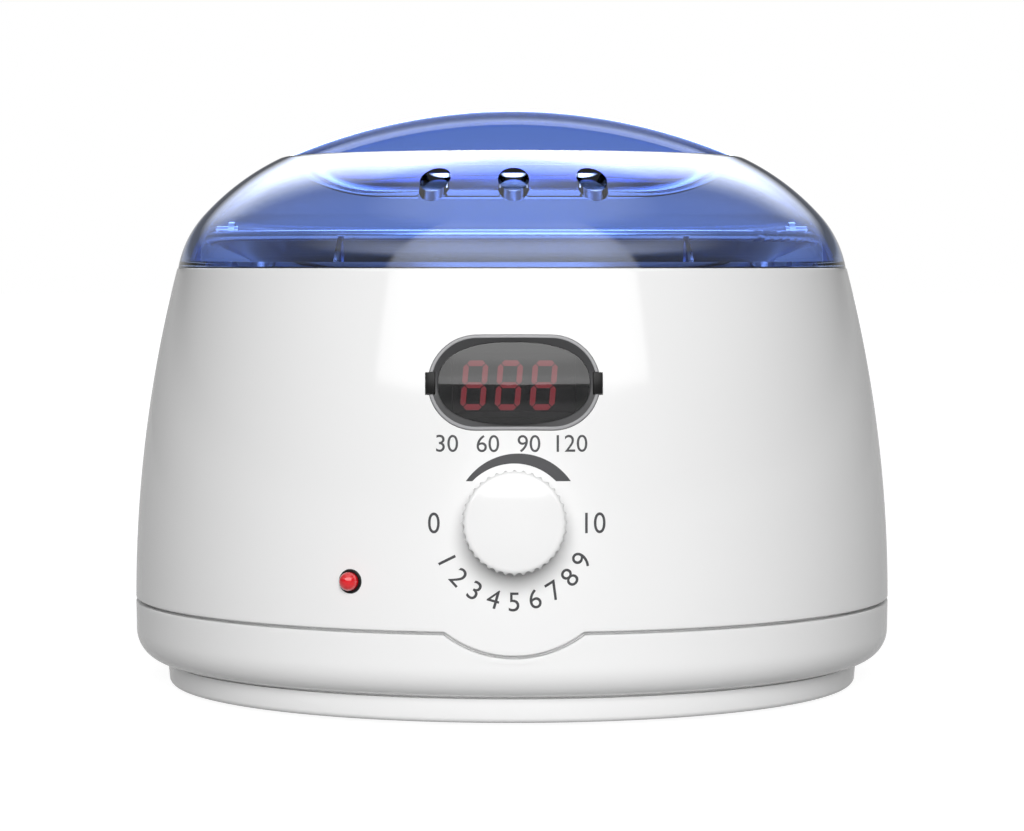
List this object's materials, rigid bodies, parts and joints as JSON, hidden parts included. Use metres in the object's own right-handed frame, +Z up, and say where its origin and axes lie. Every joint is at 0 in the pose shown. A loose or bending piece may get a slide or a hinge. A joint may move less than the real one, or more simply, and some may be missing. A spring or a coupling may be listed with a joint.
{
  "type": "wax warmer",
  "caption": "Round wax warmer with a clear finned lid, a lift-out pot with a bail in a heated well, a digital display and a thermostat knob.",
  "frame": {"origin": "middle of the whole object's footprint on the surface it stands on", "axes": "+Z up, front with the knob towards -Y, +X to the right seen from the front"},
  "size_m": [0.186, 0.2049, 0.1422],
  "materials": {
    "clear_lid": "clear blue moulding, polished",
    "white_gloss": "white, high gloss",
    "pot_aluminium": "spun, satin",
    "cup_aluminium": "drawn, satin",
    "plated_wire": "plated",
    "foot_rubber": "matt",
    "screw_steel": "plated",
    "sheet_steel": "plated sheet",
    "seal_silicone": "silicone",
    "mica": "mica and foil band",
    "case_plastic": "moulded",
    "brass": "turned",
    "copper": "drawn copper",
    "bezel_grey": "dark grey rim",
    "smoked_lens": "smoked, polished",
    "black_plastic": "moulded",
    "segment_red": "unlit red bars",
    "board_green": "solder mask",
    "lamp_red": "diffused red",
    "lead_red": "insulated lead"
  },
  "bodies": {
    "base": {"upper_housing": "white_gloss", "base_shell": "white_gloss", "bottom_cover": "white_gloss", "foot_front_left": "foot_rubber", "foot_front_right": "foot_rubber", "foot_rear_left": "foot_rubber", "foot_rear_right": "foot_rubber", "housing_screws": "screw_steel", "cover_screws": "screw_steel", "heating_cup": "cup_aluminium", "cup_seal": "seal_silicone", "cup_screws": "screw_steel", "heater_band": "mica", "band_screw": "screw_steel", "heat_shield": "sheet_steel", "shield_screws": "screw_steel", "thermostat_body": "case_plastic", "thermostat_nut": "brass", "sensing_bulb": "copper", "bulb_clip": "sheet_steel", "capillary_tube": "copper", "thermal_fuse": "case_plastic", "fuse_clip": "sheet_steel", "display_bezel": "bezel_grey", "display_lens": "smoked_lens", "display_clip_left": "black_plastic", "display_clip_right": "black_plastic", "digit_block": "black_plastic", "digit_segments": "segment_red", "display_board": "board_green", "board_screws": "screw_steel", "indicator_lamp": "lamp_red", "lamp_holder": "black_plastic", "terminal_block": "case_plastic", "inner_leads": "lead_red", "cord_bush": "black_plastic"},
    "lid": {"lid": "clear_lid"},
    "pot": {"inner_pot": "pot_aluminium"},
    "bail": {"pot_handle": "plated_wire"},
    "knob": {"knob": "white_gloss", "thermostat_shaft": "plated_wire"}
  },
  "joints": [
    {"name": "lid_lift", "type": "slide", "parent": "base", "child": "lid", "axis": [0, 0, 1], "range_m": [0, 0.26]},
    {"name": "pot_lift", "type": "slide", "parent": "base", "child": "pot", "axis": [0, 0, 1], "range_m": [0, 0.118]},
    {"name": "bail_swing", "type": "hinge", "parent": "pot", "child": "bail", "pos_m": [0, 0.00266, 0.11285], "axis": [1, 0, 0], "range_deg": [0, 90]},
    {"name": "knob_turn", "type": "hinge", "parent": "base", "child": "knob", "pos_m": [0, -0.08939, 0.0467], "axis": [0, 0.997, -0.0772], "range_deg": [0, 180]}
  ],
  "couplings": [
    {"joint": "pot_lift", "follows": "lid_lift", "ratio": 0.45},
    {"joint": "bail_swing", "follows": "lid_lift", "rad_per_m": 6.04}
  ]
}
